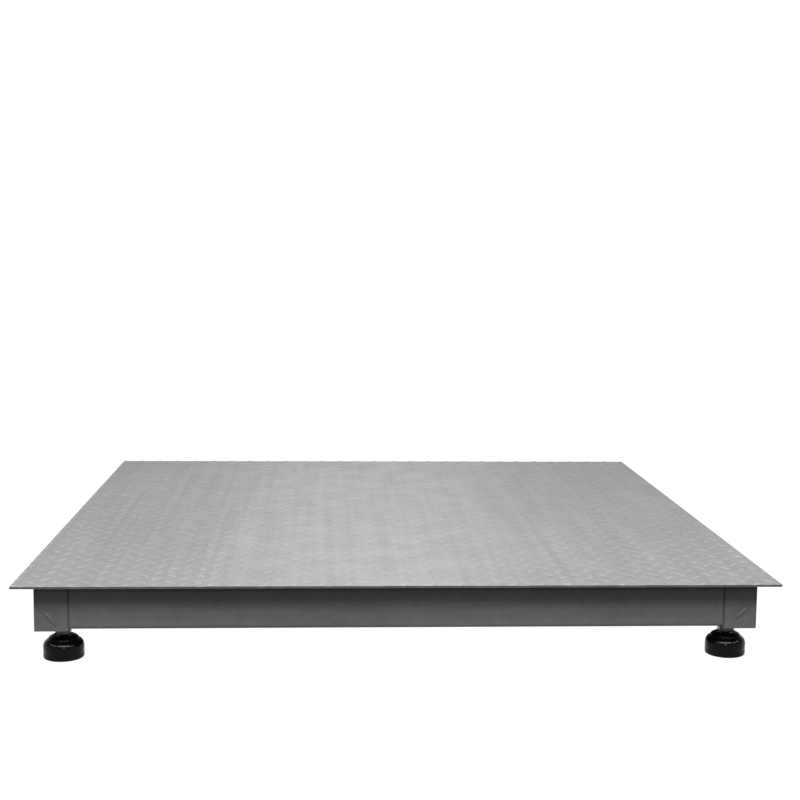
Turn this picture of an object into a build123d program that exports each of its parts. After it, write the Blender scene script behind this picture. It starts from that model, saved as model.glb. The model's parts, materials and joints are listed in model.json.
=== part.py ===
from build123d import *
import math
import os

# Animal weighing scale: a low, square floor scale. All lengths in millimetres.
# Origin on the floor under the deck's centre, +Z up, front towards -Y.

# ---------------------------------------------------------------- driving dimensions
DECK_SIDE = 1219.2  # 48 in
DECK_TOP = 133.5
DECK_THICK = 4.0
OVERHANG = 29.7  # deck edge to the frame's outer face
FRAME_WALL = 5.0
SIDE_BEAM_HEIGHT = 76.2
SIDE_BEAM_WIDTH = 53.4
CROSS_BEAM_HEIGHT = 73.3
CROSS_BEAM_WIDTH = 40.0
BEND_RADIUS = 6.0
GROOVE = 2.6  # width of the seam between a cross beam's web and an end plate
GROOVE_DEPTH = 3.2
GROOVE_LIP = 1.2  # rounding of the seam's edges
PLATE_CORNER = 3.5  # rounding of an end plate's outer upright edge
FOOT_INSET = 68.9  # deck edge to a foot's axis, both ways

RIB_PITCH = 290.0
RIB_WIDTH = 40.0
RIB_HEIGHT = 45.0
RIB_WALL = 3.0

CELL_LENGTH = 130.0
CELL_SIDE = 32.0
CELL_END = 560.0  # free end of a load cell, from the centre
CELL_BOLT_OFFSETS = (16.0, 48.0)  # from the fixed end
CELL_PAD_THICK = 12.0
CELL_PAD_LENGTH = 64.0
CELL_CUTAWAY = 400.0  # the side beams' lower flange stops here
CELL_CHAMFER = 1.5
CELL_GLAND = (6.0, 12.0, 2.0)  # radius, length, rounding of its end
GAUGE_POCKET = (50.0, 10.0, 8.0)  # from the free end, radius, depth
M12_RADIUS = 6.0
BOLT_HOLE_RADIUS = 6.7
THREAD_CLEARANCE = 0.08
HEX_TURNED = 0.575  # a turned hexagon's outside radius, as a share of its width across flats
HEX_CHAMFER = 0.05
BOLT_TIP_GAP = 1.5
BOLT_HEAD_FLATS = 18.0
BOLT_HEAD_HEIGHT = 7.5
WASHER = (6.3, 11.0, 2.5)  # inner radius, outer radius, thickness
JAM_NUT = (19.0, 8.0)  # across flats, height

BALL_CENTRE = 21.0
BALL_RADIUS = 9.5
LINER = (9.6, 11.6, 4.0)  # inner and outer radius, height above the ball's centre
SOCKET_RING = (11.75, 14.0, 6.0)  # inner and outer radius, half height
SOCKET_RADIUS = 14.2
SOCKET_MOUTH = 7.0  # height above the ball's centre
NECK_RADIUS = 6.5
HEX_FLATS = 24.0
HEX_BOTTOM = 40.4
HEX_HEIGHT = 10.0
STUD_TOP_GAP = 0.5  # stud to the top flange when the foot is fully up
STUD_TIP_CHAMFER = 1.2
CUP_RADIUS = 32.6
CUP_WALL_TOP = 20.0
CUP_TOP = 31.0
CUP_TOP_RADIUS = 25.2
CUP_LIFT = 0.8  # cup's edge above the floor
CUP_EDGE = 2.4
SOLE_RADIUS = 27.4
SOLE_THICK = 4.0
SOLE_CLEARANCE = 0.1
SOLE_GROOVES = (9.0, 15.0, 21.0)  # middle radii of the grooves in the sole
SOLE_GROOVE_WIDTH = 2.0
SOLE_GROOVE_DEPTH = 1.0
BOOT_BASE_RADIUS = 24.8
BOOT_NECK = (17.4, 36.9)  # radius and height of the upper end of its cone
BOOT_TOP = 38.0
BOOT_TOP_RADIUS = 16.4
BOOT_HOLE = 10.0
BOOT_WALL = 2.4
BOOT_BULGE = 1.0

BOX_CENTRE_X = 145.0
BOX_SIZE = (130.0, 80.0)
BOX_FRONT = 400.0
BOX_WALL = 3.0
BOX_HEIGHT = 43.5
BOX_GASKET = 1.5
BOX_LID = 4.0
BOX_CORNER = 4.0
BOX_LID_EDGE = 1.5
BOX_SCREW_INSET = 8.0
SCREW_BOSS = 6.0
SCREW_HOLE = (2.1, 12.0)  # radius, depth
SCREW_SHANK = (2.0, 10.0)  # radius, length in the box
SCREW_HEAD = (4.0, 2.4, 1.0)  # radius, height, rounding
LID_HOLE = 2.3
BRACKET_THICK = 3.0
BOARD_SIZE = (96.0, 56.0, 1.6)
BOARD_DROP = 9.0  # box ceiling to the board's upper face
BOARD_POST = (3.5, 5.0)  # radius, inset from the board's edges
TERMINAL_SIZE = (12.0, 14.0, 10.0)
TERMINAL_OFFSET = 12.0  # from the board's middle towards the glands
TERMINAL_PITCH = 15.0
GLAND_COUNT = 5
GLAND_PITCH = 20.0
GLAND_HEIGHT = 96.5
GLAND_FLATS = 16.0
GLAND_THREAD = 6.0
GLAND_HOLE = 6.1
GLAND_NUT = 4.0  # lock nut's thickness
GLAND_TAIL = 3.0  # thread beyond the lock nut
GLAND_COLLAR = 5.0
GLAND_DOME = (7.52, 13.0, 4.0)  # radius, length, rounding
CABLE_RADIUS = 2.75
CABLE_CLEARANCE = 0.1
OUTLET_BORE = 3.5

LEAD_TIGHT = 28.0
LEAD_WIDE = 80.0
LEAD_SHARE = 0.45  # most of a run that the arc at each of its ends may take
LEAD_INSIDE = 10.0  # length of a lead inside a gland
LANE_Y = 567.5  # the leads' lane along the rear beam
LANE_X = 566.0  # and along a side beam
LANE_HIGH = 73.2
LANE_LOW = 66.6

CLIP_HALF = 5.0  # half a clip's width along the lead
CLIP_EDGE = 4.0  # lead's middle to the clip's edge
SIDE_CLIPS = (-200.0, 0.0, 200.0)
OUTER_CLIP = 430.0
PAIR_CLIPS = (-280.0, -165.0, -50.0, 288.0)

# ---------------------------------------------------------------- derived places
half_deck = DECK_SIDE / 2
frame_face = half_deck - OVERHANG
inner_bend = BEND_RADIUS - FRAME_WALL
deck_bottom = DECK_TOP - DECK_THICK
beam_end = frame_face - FRAME_WALL
flange_bottom = deck_bottom - FRAME_WALL
side_inner = frame_face - SIDE_BEAM_WIDTH
side_bottom = deck_bottom - SIDE_BEAM_HEIGHT
cross_bottom = deck_bottom - CROSS_BEAM_HEIGHT
cross_inner = frame_face - CROSS_BEAM_WIDTH
foot_at = half_deck - FOOT_INSET
cell_top = flange_bottom - CELL_PAD_THICK
cell_bottom = cell_top - CELL_SIDE
cell_fixed = CELL_END - CELL_LENGTH
cell_mid = cell_bottom + CELL_SIDE / 2
stud_top = flange_bottom - STUD_TOP_GAP
box_top = flange_bottom - BRACKET_THICK
box_bottom = box_top - BOX_HEIGHT
box_rear = BOX_FRONT + BOX_SIZE[1]
box_middle = (BOX_FRONT + box_rear) / 2
board_top = box_top - BOX_WALL - BOARD_DROP
lid_bottom = box_bottom - BOX_GASKET - BOX_LID

CORNERS = {"front_left": (-1, -1), "front_right": (1, -1), "rear_left": (-1, 1), "rear_right": (1, 1)}
BOTTOM = (Align.CENTER, Align.CENTER, Align.MIN)
CORNER = (Align.MIN, Align.MIN, Align.MIN)
OVERLAP = 1.0  # how far shapes that are joined reach into each other


# ---------------------------------------------------------------- helpers
def block(low, high):
    """A box between two corners."""
    size = [b - a for a, b in zip(low, high)]
    return Pos(*low) * Box(*size, align=CORNER)


def rod(radius, low, high, x=0.0, y=0.0):
    """An upright cylinder from low to high."""
    return Pos(x, y, low) * Cylinder(radius, high - low, align=BOTTOM)


def hexagon(flats, low, high, x=0.0, y=0.0):
    """An upright hexagonal prism with its corners turned down to a chamfer."""
    prism = extrude(RegularPolygon(flats / 2, 6, major_radius=False), high - low)
    turned = Cylinder(flats * HEX_TURNED, high - low, align=BOTTOM)
    turned = chamfer(turned.edges(), flats * HEX_CHAMFER)
    return Pos(x, y, low) * (prism & turned)


def channel(length, height, width):
    """A formed channel: web at X = 0, flanges towards +X, standing on Z = 0, running along +Y."""
    outer = Rectangle(width, height, align=(Align.MIN, Align.MIN))
    outer = fillet(outer.vertices().group_by(Axis.X)[0], BEND_RADIUS)
    hollow = Pos(FRAME_WALL, FRAME_WALL) * Rectangle(
        width, height - 2 * FRAME_WALL, align=(Align.MIN, Align.MIN)
    )
    hollow = fillet(hollow.vertices().group_by(Axis.X)[0], inner_bend)
    section = Plane.XZ * (outer - hollow)
    return Pos(0, length, 0) * extrude(section, length)


def to_corner(shape, side, end):
    """Moves a shape made at the front left corner to another corner by mirroring."""
    if side > 0:
        shape = mirror(shape, about=Plane.YZ)
    if end > 0:
        shape = mirror(shape, about=Plane.XZ)
    return shape


def revolved(*outline):
    """A solid of revolution about Z from edges drawn in the XZ plane."""
    return revolve(Plane.XZ * make_face(Curve() + list(outline)), Axis.Z)


def shell_of_sphere(inner, outer, low, high):
    """A band of a spherical shell between two heights, centred on the origin."""
    return (Sphere(outer) - Sphere(inner)) & rod(outer + OVERLAP, low, high)


# ---------------------------------------------------------------- frame
def deck_plate():
    plate = Box(DECK_SIDE, DECK_SIDE, DECK_THICK, align=BOTTOM)
    return Pos(0, 0, deck_bottom) * plate


def side_beam():
    """Left side beam; the lower flange is cut away over each load cell."""
    long = channel(2 * beam_end, SIDE_BEAM_HEIGHT, SIDE_BEAM_WIDTH)
    beam = Pos(-frame_face, -beam_end, side_bottom) * long
    for end in (-1, 1):
        near, far = sorted((end * CELL_CUTAWAY, end * beam_end))
        low = (-beam_end + BEND_RADIUS, near, side_bottom)
        high = (-side_inner, far, side_bottom + FRAME_WALL)
        beam -= block(low, high)
    return beam


def cross_beam():
    """Front beam; its web is stepped back beside the end plates and leaves a groove."""
    long = channel(2 * side_inner, CROSS_BEAM_HEIGHT, CROSS_BEAM_WIDTH)
    beam = Pos(side_inner, -frame_face, cross_bottom) * Rot(0, 0, 90) * long
    for side in (-1, 1):
        near, far = sorted((side * (side_inner - GROOVE), side * side_inner))
        beam -= block((near, -frame_face, cross_bottom), (far, GROOVE_DEPTH - frame_face, deck_bottom))
    return fillet(beam.edges().filter_by(Axis.Z).group_by(Axis.Y)[0], GROOVE_LIP)


def end_plate():
    """Front left end plate, which closes the side beam's end."""
    plate = block((-frame_face, -frame_face, side_bottom), (-side_inner, -beam_end, deck_bottom))
    outer, inner = plate.edges().filter_by(Axis.Z).group_by(Axis.Y)[0].sort_by(Axis.X)
    plate = fillet(outer, PLATE_CORNER)
    inner = plate.edges().filter_by(Axis.Z).group_by(Axis.Y)[0].sort_by(Axis.X)[-1]
    return fillet(inner, GROOVE_LIP)


def rib(x):
    """A deck rib: a channel open upwards, coped at its ends under the beams' top flanges."""
    low = deck_bottom - RIB_HEIGHT
    half = RIB_WIDTH / 2
    rib_end = beam_end - inner_bend
    shape = block((x - half, -rib_end, low), (x + half, rib_end, deck_bottom))
    shape -= block(
        (x - half + RIB_WALL, -rib_end, low + RIB_WALL), (x + half - RIB_WALL, rib_end, deck_bottom)
    )
    for end in (-1, 1):
        near, far = sorted((end * cross_inner, end * rib_end))
        shape -= block((x - half, near, flange_bottom), (x + half, far, deck_bottom))
    return shape


# ---------------------------------------------------------------- load cells, front left
def cell_pad():
    low = (-foot_at - CELL_SIDE / 2 - FRAME_WALL, -cell_fixed - CELL_PAD_LENGTH, cell_top)
    pad = block(low, (-side_inner, -cell_fixed, flange_bottom))
    for offset in CELL_BOLT_OFFSETS:
        pad -= rod(M12_RADIUS + THREAD_CLEARANCE, cell_top, flange_bottom, -foot_at, -cell_fixed - offset)
    return pad


def load_cell():
    """Shear-beam cell along Y with its lead's gland on the fixed end."""
    half = CELL_SIDE / 2
    body = block((-foot_at - half, -CELL_END, cell_bottom), (-foot_at + half, -cell_fixed, cell_top))
    body = chamfer(body.edges().filter_by(Axis.Y), CELL_CHAMFER)
    for offset in CELL_BOLT_OFFSETS:
        body -= rod(BOLT_HOLE_RADIUS, cell_bottom, cell_top, -foot_at, -cell_fixed - offset)
    body -= rod(M12_RADIUS + THREAD_CLEARANCE, cell_bottom, cell_top, -foot_at, -foot_at)
    from_end, radius, depth = GAUGE_POCKET
    for face in (-1, 1):
        middle = Pos(-foot_at + face * (half - depth / 2), -CELL_END + from_end, cell_mid)
        body -= middle * Rot(0, 90, 0) * Cylinder(radius, depth)
    gland_radius, gland_length, rounding = CELL_GLAND
    lead_gland = Cylinder(gland_radius, gland_length, align=BOTTOM)
    lead_gland = fillet(lead_gland.edges().group_by(Axis.Z)[-1], rounding)
    body += Pos(-foot_at, -cell_fixed, cell_mid) * Rot(-90, 0, 0) * lead_gland
    lead_hole = Cylinder(CABLE_RADIUS + CABLE_CLEARANCE, 2 * gland_length)
    return body - Pos(-foot_at, -cell_fixed, cell_mid) * Rot(90, 0, 0) * lead_hole


def cell_washer(y):
    inner, outer, thick = WASHER
    ring = rod(outer, cell_bottom - thick, cell_bottom, -foot_at, y)
    return ring - rod(inner, cell_bottom - thick, cell_bottom, -foot_at, y)


def cell_bolt(y):
    seat = cell_bottom - WASHER[2]
    head = hexagon(BOLT_HEAD_FLATS, seat - BOLT_HEAD_HEIGHT, seat, -foot_at, y)
    return head + rod(M12_RADIUS, seat - OVERLAP, flange_bottom - BOLT_TIP_GAP, -foot_at, y)


def jam_nut():
    flats, height = JAM_NUT
    nut = hexagon(flats, cell_bottom - height, cell_bottom, -foot_at, -foot_at)
    return nut - rod(M12_RADIUS + THREAD_CLEARANCE, cell_bottom - height, cell_bottom, -foot_at, -foot_at)


# ---------------------------------------------------------------- foot, on its own axis
def foot_stud():
    """Ball, neck, hexagon and threaded rod in one piece."""
    stud = Pos(0, 0, BALL_CENTRE) * Sphere(BALL_RADIUS)
    stud += rod(NECK_RADIUS, BALL_CENTRE, HEX_BOTTOM + OVERLAP)
    stud += hexagon(HEX_FLATS, HEX_BOTTOM, HEX_BOTTOM + HEX_HEIGHT)
    thread = Cylinder(M12_RADIUS, stud_top - HEX_BOTTOM, align=BOTTOM)
    thread = chamfer(thread.edges().group_by(Axis.Z)[-1], STUD_TIP_CHAMFER)
    return stud + Pos(0, 0, HEX_BOTTOM) * thread


def ball_liner():
    inner, outer, top = LINER
    return Pos(0, 0, BALL_CENTRE) * shell_of_sphere(inner, outer, -outer - OVERLAP, top)


def socket_ring():
    inner, outer, half = SOCKET_RING
    return Pos(0, 0, BALL_CENTRE) * shell_of_sphere(inner, outer, -half, half)


def foot_cup():
    """Outer cup with a rounded shoulder, a spherical socket and a recess for the sole."""
    rise = CUP_TOP - CUP_WALL_TOP
    step = CUP_RADIUS - CUP_TOP_RADIUS
    shoulder = (rise**2 + step**2) / (2 * step)
    angle = math.asin(rise / shoulder) / 2
    on_arc = (
        CUP_RADIUS - shoulder + shoulder * math.cos(angle),
        CUP_WALL_TOP + shoulder * math.sin(angle),
    )
    edge_mid = CUP_EDGE * (1 - math.sqrt(0.5))
    outline = (
        Line((0, CUP_LIFT), (CUP_RADIUS - CUP_EDGE, CUP_LIFT)),
        ThreePointArc(
            (CUP_RADIUS - CUP_EDGE, CUP_LIFT),
            (CUP_RADIUS - edge_mid, CUP_LIFT + edge_mid),
            (CUP_RADIUS, CUP_LIFT + CUP_EDGE),
        ),
        Line((CUP_RADIUS, CUP_LIFT + CUP_EDGE), (CUP_RADIUS, CUP_WALL_TOP)),
        ThreePointArc((CUP_RADIUS, CUP_WALL_TOP), on_arc, (CUP_TOP_RADIUS, CUP_TOP)),
        Line((CUP_TOP_RADIUS, CUP_TOP), (0, CUP_TOP)),
        Line((0, CUP_TOP), (0, CUP_LIFT)),
    )
    cup = revolved(*outline)
    cup -= Pos(0, 0, BALL_CENTRE) * Sphere(SOCKET_RADIUS)
    mouth = math.sqrt(SOCKET_RADIUS**2 - SOCKET_MOUTH**2)
    cup -= rod(mouth, BALL_CENTRE + SOCKET_MOUTH, CUP_TOP)
    return cup - rod(SOLE_RADIUS + SOLE_CLEARANCE, 0, SOLE_THICK + SOLE_CLEARANCE)


def sole_pad():
    pad = rod(SOLE_RADIUS, 0, SOLE_THICK)
    half = SOLE_GROOVE_WIDTH / 2
    for radius in SOLE_GROOVES:
        pad -= rod(radius + half, 0, SOLE_GROOVE_DEPTH) - rod(radius - half, 0, SOLE_GROOVE_DEPTH)
    return pad


def foot_boot():
    """Conical rubber boot on the cup, with a hole that clears the neck when the cup tilts."""
    foot = (BOOT_BASE_RADIUS, CUP_TOP)
    rim = (BOOT_TOP_RADIUS, BOOT_TOP)
    inner_foot = (BOOT_BASE_RADIUS - BOOT_WALL, CUP_TOP)
    inner_rim = (BOOT_TOP_RADIUS - BOOT_WALL, BOOT_TOP - BOOT_WALL)
    outline = (
        Line(inner_foot, foot),
        SagittaArc(foot, BOOT_NECK, -BOOT_BULGE),
        Line(BOOT_NECK, rim),
        Line(rim, (BOOT_HOLE, BOOT_TOP)),
        Line((BOOT_HOLE, BOOT_TOP), (BOOT_HOLE, BOOT_TOP - BOOT_WALL)),
        Line((BOOT_HOLE, BOOT_TOP - BOOT_WALL), inner_rim),
        Line(inner_rim, inner_foot),
    )
    return revolved(*outline)


# ---------------------------------------------------------------- junction box
def box_corners():
    """The four screw places."""
    half_x = BOX_SIZE[0] / 2 - BOX_SCREW_INSET
    for side in (-1, 1):
        for y in (BOX_FRONT + BOX_SCREW_INSET, box_rear - BOX_SCREW_INSET):
            yield BOX_CENTRE_X + side * half_x, y


def box_outline(low, high):
    """A rounded block with the box's plan."""
    plan = RectangleRounded(*BOX_SIZE, BOX_CORNER)
    return Pos(BOX_CENTRE_X, box_middle, low) * extrude(plan, high - low)


def row_places(pitch):
    """X of each of the box's glands, or of what is spaced like them."""
    return [BOX_CENTRE_X + pitch * (n - (GLAND_COUNT - 1) / 2) for n in range(GLAND_COUNT)]


def junction_box():
    body = box_outline(box_bottom, box_top)
    half_x = BOX_SIZE[0] / 2 - BOX_WALL
    cavity = block(
        (BOX_CENTRE_X - half_x, BOX_FRONT + BOX_WALL, box_bottom),
        (BOX_CENTRE_X + half_x, box_rear - BOX_WALL, box_top - BOX_WALL),
    )
    for x, y in box_corners():
        cavity -= rod(SCREW_BOSS, box_bottom, box_top, x, y)
    body -= cavity
    hole_radius, hole_depth = SCREW_HOLE
    for x, y in box_corners():
        body -= rod(hole_radius, box_bottom, box_bottom + hole_depth, x, y)
    for x, y in board_corners():
        body += rod(BOARD_POST[0], board_top, box_top - BOX_WALL + OVERLAP, x, y)
    for x in row_places(GLAND_PITCH):
        body -= Pos(x, box_rear, GLAND_HEIGHT) * Rot(90, 0, 0) * Cylinder(GLAND_HOLE, 4 * BOX_WALL)
    return body


def board_corners():
    half_x = BOARD_SIZE[0] / 2 - BOARD_POST[1]
    half_y = BOARD_SIZE[1] / 2 - BOARD_POST[1]
    return [(BOX_CENTRE_X + i * half_x, box_middle + j * half_y) for i in (-1, 1) for j in (-1, 1)]


def junction_board():
    low = board_top - BOARD_SIZE[2]
    return Pos(BOX_CENTRE_X, box_middle, low) * Box(*BOARD_SIZE, align=BOTTOM)


def terminal_blocks():
    """One screw-terminal block for each gland, hanging from the board."""
    low = board_top - BOARD_SIZE[2] - TERMINAL_SIZE[2]
    blocks = []
    for x in row_places(TERMINAL_PITCH):
        blocks.append(Pos(x, box_middle + TERMINAL_OFFSET, low) * Box(*TERMINAL_SIZE, align=BOTTOM))
    return Compound(children=blocks)


def box_gasket():
    half_x = BOX_SIZE[0] / 2 - BOX_WALL
    ring = box_outline(box_bottom - BOX_GASKET, box_bottom)
    ring -= block(
        (BOX_CENTRE_X - half_x, BOX_FRONT + BOX_WALL, box_bottom - BOX_GASKET),
        (BOX_CENTRE_X + half_x, box_rear - BOX_WALL, box_bottom),
    )
    return ring


def box_lid():
    lid = box_outline(lid_bottom, box_bottom - BOX_GASKET)
    lid = fillet(lid.edges().group_by(Axis.Z)[0], BOX_LID_EDGE)
    for x, y in box_corners():
        lid -= rod(LID_HOLE, lid_bottom, lid_bottom + BOX_LID, x, y)
    return lid


def box_screws():
    radius, height, rounding = SCREW_HEAD
    head = Cylinder(radius, height, align=BOTTOM)
    head = fillet(head.edges().group_by(Axis.Z)[0], rounding)
    shank_radius, shank_length = SCREW_SHANK
    screws = []
    for x, y in box_corners():
        shank = rod(shank_radius, lid_bottom - OVERLAP, box_bottom + shank_length, x, y)
        screws.append(Pos(x, y, lid_bottom - height) * head + shank)
    return Compound(children=screws)


def box_bracket():
    """A flat arm under the rear beam's top flange that carries the box."""
    half_x = BOX_SIZE[0] / 2
    return block(
        (BOX_CENTRE_X - half_x, BOX_FRONT, box_top),
        (BOX_CENTRE_X + half_x, beam_end - inner_bend, flange_bottom),
    )


def gland(bore, wall):
    """A cable gland along +Z: lock nut below Z = -wall, hexagon and dome above Z = 0."""
    nut_bottom = -wall - GLAND_NUT
    body = hexagon(GLAND_FLATS, nut_bottom, -wall)
    body += rod(GLAND_THREAD, nut_bottom - GLAND_TAIL, OVERLAP)
    body += hexagon(GLAND_FLATS, 0, GLAND_COLLAR)
    dome_radius, dome_length, rounding = GLAND_DOME
    dome = Cylinder(dome_radius, dome_length, align=BOTTOM)
    dome = fillet(dome.edges().group_by(Axis.Z)[-1], rounding)
    body += Pos(0, 0, GLAND_COLLAR) * dome
    return body - Cylinder(bore, 4 * (GLAND_COLLAR + dome_length))


def box_glands():
    glands = []
    for x in row_places(GLAND_PITCH):
        one = gland(CABLE_RADIUS + CABLE_CLEARANCE, BOX_WALL)
        glands.append(Pos(x, box_rear, GLAND_HEIGHT) * Rot(-90, 0, 0) * one)
    return Compound(children=glands)


def outlet_gland():
    """The gland in the rear beam's web, for the indicator's cable."""
    one = gland(OUTLET_BORE, FRAME_WALL)
    return Pos(BOX_CENTRE_X, frame_face, GLAND_HEIGHT) * Rot(-90, 0, 0) * one


def outlet_hole():
    hole = Cylinder(GLAND_HOLE, 3 * FRAME_WALL)
    return Pos(BOX_CENTRE_X, frame_face, GLAND_HEIGHT) * Rot(90, 0, 0) * hole


# ---------------------------------------------------------------- leads
def lead(name, route, tight=()):
    """A round lead along straight runs joined by arcs that leave a tenth of each run straight.

    The corners numbered in tight turn in LEAD_TIGHT, where a cell or a wall leaves no more room.
    """
    points = [Vector(*p) for p in route]
    runs = [(b - a).length for a, b in zip(points, points[1:])]
    radii = []
    for i in range(1, len(points) - 1):
        turn = math.radians((points[i] - points[i - 1]).get_angle(points[i + 1] - points[i]))
        widest = LEAD_SHARE * min(runs[i - 1], runs[i]) / math.tan(turn / 2)
        radii.append(LEAD_TIGHT if i in tight else min(widest, LEAD_WIDE))
    path = FilletPolyline(*points, radius=radii)
    start = Plane(origin=path @ 0, z_dir=path % 0)
    tube = sweep(start * Circle(CABLE_RADIUS), path=path)
    section = math.pi * CABLE_RADIUS**2
    print(name, "length", round(path.length), "radii", [round(r) for r in radii])
    print(name, "volume over section times length", round(tube.volume / (section * path.length), 4))
    return tube


def lead_end(side, gland_x, lane):
    """The last points of a lead: up from its lane and into its gland."""
    return [
        (gland_x + side * 75, LANE_Y, lane),
        (gland_x, LANE_Y - 10, GLAND_HEIGHT),
        (gland_x, box_rear - LEAD_INSIDE, GLAND_HEIGHT),
    ]


def front_lead(side):
    """From a front cell along its side beam, round the rear corner and along the rear beam."""
    gland_x = BOX_CENTRE_X + side * 2 * GLAND_PITCH
    start = [
        (side * foot_at, -cell_fixed - LEAD_INSIDE, cell_mid),
        (side * foot_at, -cell_fixed + 50, cell_mid),
        (side * LANE_X, -cell_fixed + 120, LANE_HIGH),
        (side * LANE_X, LANE_Y, LANE_HIGH),
    ]
    return start + lead_end(side, gland_x, LANE_HIGH)


def rear_lead(side):
    """From a rear cell inwards, back to the rear beam and along it."""
    gland_x = BOX_CENTRE_X + side * GLAND_PITCH
    start = [
        (side * foot_at, cell_fixed + LEAD_INSIDE, cell_mid),
        (side * foot_at, cell_fixed - 50, cell_mid),
        (side * (foot_at - 60), cell_fixed - 90, 84.0),
        (side * (foot_at - 120), cell_fixed - 45, 70.0),
        (side * (foot_at - 145), LANE_Y - 75, LANE_LOW),
        (side * (foot_at - 200), LANE_Y, LANE_LOW),
    ]
    return start + lead_end(side, gland_x, LANE_LOW)


def side_clip(side, y):
    """A saddle clip on a side beam's web."""
    near, far = sorted((side * (LANE_X - CLIP_EDGE), side * beam_end))
    clip = block((near, y - CLIP_HALF, LANE_HIGH - CLIP_EDGE), (far, y + CLIP_HALF, LANE_HIGH + CLIP_EDGE))
    hole = Rot(90, 0, 0) * Cylinder(CABLE_RADIUS + CABLE_CLEARANCE, 4 * CLIP_HALF)
    return clip - Pos(side * LANE_X, y, LANE_HIGH) * hole


def rear_clip(x, lanes):
    """A saddle clip on the rear beam's web, round the leads in the named lanes."""
    low, high = min(lanes) - CLIP_EDGE, max(lanes) + CLIP_EDGE
    clip = block((x - CLIP_HALF, LANE_Y - CLIP_EDGE, low), (x + CLIP_HALF, beam_end, high))
    hole = Rot(0, 90, 0) * Cylinder(CABLE_RADIUS + CABLE_CLEARANCE, 4 * CLIP_HALF)
    for lane in lanes:
        clip -= Pos(x, LANE_Y, lane) * hole
    return clip


def lead_clips():
    clips = []
    for side in (-1, 1):
        clips += [side_clip(side, y) for y in SIDE_CLIPS]
        clips.append(rear_clip(side * OUTER_CLIP, (LANE_HIGH,)))
    clips += [rear_clip(x, (LANE_LOW, LANE_HIGH)) for x in PAIR_CLIPS]
    return Compound(children=clips)


# ---------------------------------------------------------------- files
def save(name, shape):
    shape.label = name
    export_step(shape, f"parts/{name}.step")


def main():
    os.makedirs("parts", exist_ok=True)
    save("deck_plate", deck_plate())
    left = side_beam()
    save("side_beam_left", left)
    save("side_beam_right", mirror(left, about=Plane.YZ))
    front = cross_beam()
    save("front_beam", front)
    save("rear_beam", mirror(front, about=Plane.XZ) - outlet_hole())
    for name, x in (("rib_left", -RIB_PITCH), ("rib_centre", 0.0), ("rib_right", RIB_PITCH)):
        save(name, rib(x))

    pads, bolts, washers, nuts = [], [], [], []
    plate, cell, nut, pad = end_plate(), load_cell(), jam_nut(), cell_pad()
    for corner, (side, end) in CORNERS.items():
        save(f"end_plate_{corner}", to_corner(plate, side, end))
        save(f"load_cell_{corner}", to_corner(cell, side, end))
        pads.append(to_corner(pad, side, end))
        nuts.append(to_corner(nut, side, end))
        for offset in CELL_BOLT_OFFSETS:
            bolts.append(to_corner(cell_bolt(-cell_fixed - offset), side, end))
            washers.append(to_corner(cell_washer(-cell_fixed - offset), side, end))
        axis = Pos(side * foot_at, end * foot_at, 0)
        save(f"foot_stud_{corner}", axis * foot_stud())
        save(f"ball_liner_{corner}", axis * ball_liner())
        save(f"socket_ring_{corner}", axis * socket_ring())
        save(f"foot_cup_{corner}", axis * foot_cup())
        save(f"sole_pad_{corner}", axis * sole_pad())
        save(f"foot_boot_{corner}", axis * foot_boot())
        route, tight = (front_lead(side), (3,)) if end < 0 else (rear_lead(side), ())
        save(f"cell_lead_{corner}", lead(f"cell_lead_{corner}", route, tight))
    save("cell_pads", Compound(children=pads))
    save("cell_bolts", Compound(children=bolts))
    save("cell_washers", Compound(children=washers))
    save("jam_nuts", Compound(children=nuts))

    save("junction_box", junction_box())
    save("junction_gasket", box_gasket())
    save("junction_lid", box_lid())
    save("junction_screws", box_screws())
    save("junction_board", junction_board())
    save("terminal_blocks", terminal_blocks())
    save("junction_bracket", box_bracket())
    save("junction_glands", box_glands())
    save("outlet_gland", outlet_gland())
    save("lead_clips", lead_clips())


main()
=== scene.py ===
"""Looks of the animal weighing scale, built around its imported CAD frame."""

import json
import math

import bmesh
import bpy
from mathutils import Matrix, Vector


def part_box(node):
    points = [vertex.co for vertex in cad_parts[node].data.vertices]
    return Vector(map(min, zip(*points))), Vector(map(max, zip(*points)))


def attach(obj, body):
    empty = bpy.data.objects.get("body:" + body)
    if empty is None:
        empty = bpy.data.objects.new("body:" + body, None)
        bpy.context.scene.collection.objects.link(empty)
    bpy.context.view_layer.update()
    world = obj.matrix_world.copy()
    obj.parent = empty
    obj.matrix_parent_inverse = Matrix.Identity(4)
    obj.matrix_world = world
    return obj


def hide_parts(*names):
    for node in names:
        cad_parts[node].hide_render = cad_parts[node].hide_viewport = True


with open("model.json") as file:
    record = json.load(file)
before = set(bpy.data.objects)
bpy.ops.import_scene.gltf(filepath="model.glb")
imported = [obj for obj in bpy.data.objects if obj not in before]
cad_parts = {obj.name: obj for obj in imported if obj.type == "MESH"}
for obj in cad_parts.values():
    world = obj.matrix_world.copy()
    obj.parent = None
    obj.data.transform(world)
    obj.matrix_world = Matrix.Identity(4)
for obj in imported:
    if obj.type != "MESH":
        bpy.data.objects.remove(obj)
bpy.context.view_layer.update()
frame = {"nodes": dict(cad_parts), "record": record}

MM = 0.001
# For each corner, the signs of its X and Y.
CORNERS = {"front_left": (-1, -1), "front_right": (1, -1), "rear_left": (-1, 1), "rear_right": (1, 1)}

# Places read from the frame, in metres.
DECK_LOW, DECK_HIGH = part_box("deck_plate")
DECK_HALF = DECK_HIGH.x
DECK_TOP = DECK_HIGH.z
DECK_UNDERSIDE = DECK_LOW.z
PLATE_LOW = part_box("end_plate_front_left")[0]
FRAME_FACE = -PLATE_LOW.x
PLATE_FACE = -PLATE_LOW.y
PLATE_BOTTOM = PLATE_LOW.z


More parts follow.
